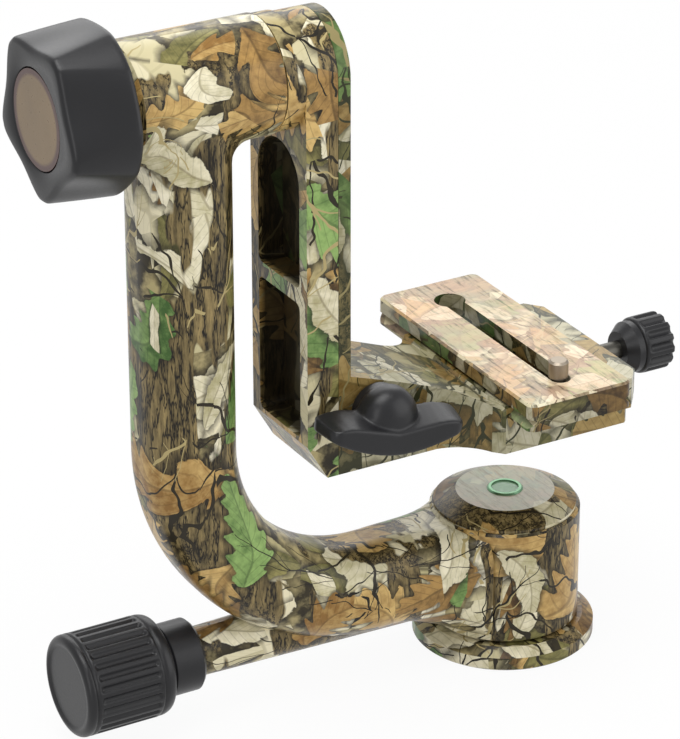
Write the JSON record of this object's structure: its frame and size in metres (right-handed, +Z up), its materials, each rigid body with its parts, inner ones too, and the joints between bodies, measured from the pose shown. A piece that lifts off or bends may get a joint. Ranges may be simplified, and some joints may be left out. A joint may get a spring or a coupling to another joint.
{
  "type": "gimbal tripod head",
  "caption": "Gimbal head for a tripod: round base, J-shaped arm, tilting swing arm and height-adjustable platform with a quick release clamp and camera plate.",
  "frame": {"origin": "centre of the base flange's underside, at the mouth of the tripod thread", "axes": "+Z up along the pan axis; +X from the J arm towards the clamp knob, along the tilt axis; +Y along the lens"},
  "size_m": [0.2228, 0.095, 0.24],
  "materials": {
    "camo_casting": "satin woodland print on aluminium",
    "black_plastic": "satin moulded",
    "bronze_disc": "satin bronze",
    "steel": "machined",
    "bush_bronze": "machined",
    "acetal": "natural",
    "brake_lining": "matte",
    "level_metal": "satin",
    "level_green": "clear green fluid",
    "level_bubble": "bubble",
    "level_glass": "clear"
  },
  "bodies": {
    "base": {"base_flange": "camo_casting", "pan_spindle": "steel", "base_screws": "steel", "thrust_washer": "acetal", "top_thrust_washer": "acetal", "spindle_nut": "steel"},
    "j_arm_body": {"j_arm": "camo_casting", "lower_pan_bush": "bush_bronze", "upper_pan_bush": "bush_bronze", "hub_cap": "camo_casting", "level_housing": "level_metal", "level_fluid": "level_green", "level_bubble": "level_bubble", "level_lens": "level_glass", "pan_lock_sleeve": "black_plastic", "left_tilt_bush": "bush_bronze", "right_tilt_bush": "bush_bronze", "tilt_end_cap": "steel"},
    "tilt_knob": {"tilt_knob_grip": "black_plastic", "tilt_knob_disc": "bronze_disc", "tilt_knob_screw": "steel"},
    "tilt_brake": {"tilt_brake_disc": "steel", "tilt_brake_lining": "brake_lining"},
    "pan_knob": {"pan_knob_grip": "black_plastic", "pan_lock_rod": "steel"},
    "pan_brake": {"pan_brake_shoe": "bush_bronze"},
    "swing": {"swing_arm": "camo_casting", "tilt_shaft": "steel", "shaft_nut": "steel", "shaft_screw": "steel"},
    "platform": {"platform_bracket": "camo_casting", "clamp_base": "camo_casting", "clamp_bolts": "steel"},
    "height_knob": {"height_knob_wing": "black_plastic", "height_lock_cam": "steel"},
    "height_pad": {"height_lock_pad": "bush_bronze"},
    "jaw": {"moving_jaw": "camo_casting", "jaw_guide_pins": "steel"},
    "clamp_knob": {"clamp_knob_grip": "black_plastic", "clamp_knob_collar": "black_plastic", "clamp_screw": "steel"},
    "plate": {"camera_plate": "camo_casting"},
    "screw_carriage": {"camera_screw_washer": "steel"},
    "camera_screw_body": {"camera_screw": "steel"}
  },
  "joints": [
    {"name": "pan_turn", "type": "hinge", "parent": "base", "child": "j_arm_body", "pos_m": [0, 0, 0.03], "axis": [0, 0, 1], "continuous": true},
    {"name": "tilt_swing", "type": "hinge", "parent": "j_arm_body", "child": "swing", "pos_m": [-0.1, 0, 0.2144], "axis": [1, 0, 0], "continuous": true},
    {"name": "tilt_lock_turn", "type": "hinge", "parent": "j_arm_body", "child": "tilt_knob", "pos_m": [-0.15, 0, 0.2144], "axis": [1, 0, 0], "range_deg": [-360, 90]},
    {"name": "tilt_brake_slide", "type": "slide", "parent": "j_arm_body", "child": "tilt_brake", "axis": [1, 0, 0], "range_m": [-0.001, 0.00025]},
    {"name": "pan_lock_turn", "type": "hinge", "parent": "j_arm_body", "child": "pan_knob", "pos_m": [-0.14, 0, 0.023], "axis": [1, 0, 0], "range_deg": [-360, 90]},
    {"name": "pan_brake_slide", "type": "slide", "parent": "j_arm_body", "child": "pan_brake", "axis": [1, 0, 0], "range_m": [-0.001, 0.00025]},
    {"name": "platform_height", "type": "slide", "parent": "swing", "child": "platform", "axis": [0, 0, 1], "range_m": [0, 0.06]},
    {"name": "height_lock_turn", "type": "hinge", "parent": "platform", "child": "height_knob", "pos_m": [-0.06, -0.02, 0.104], "axis": [0, 1, 0], "range_deg": [0, 90]},
    {"name": "height_pad_slide", "type": "slide", "parent": "platform", "child": "height_pad", "axis": [-1, 0, 0], "range_m": [0, 0.00035]},
    {"name": "jaw_slide", "type": "slide", "parent": "platform", "child": "jaw", "axis": [1, 0, 0], "range_m": [0, 0.003]},
    {"name": "clamp_knob_turn", "type": "hinge", "parent": "jaw", "child": "clamp_knob", "pos_m": [0.05, 0, 0.0916], "axis": [1, 0, 0], "range_deg": [0, 864]},
    {"name": "plate_slide", "type": "slide", "parent": "platform", "child": "plate", "axis": [0, 1, 0], "range_m": [-0.025, 0.025]},
    {"name": "camera_screw_slide", "type": "slide", "parent": "plate", "child": "screw_carriage", "axis": [0, 1, 0], "range_m": [-0.001, 0.066]},
    {"name": "camera_screw_turn", "type": "hinge", "parent": "screw_carriage", "child": "camera_screw_body", "pos_m": [0, -0.03, 0.1], "axis": [0, 0, 1], "continuous": true}
  ],
  "couplings": [
    {"joint": "tilt_lock_turn", "follows": "tilt_brake_slide", "rad_per_m": 6283.2},
    {"joint": "pan_lock_turn", "follows": "pan_brake_slide", "rad_per_m": 6283.2},
    {"joint": "height_lock_turn", "follows": "height_pad_slide", "rad_per_m": 4488},
    {"joint": "clamp_knob_turn", "follows": "jaw_slide", "rad_per_m": 5026.5}
  ]
}
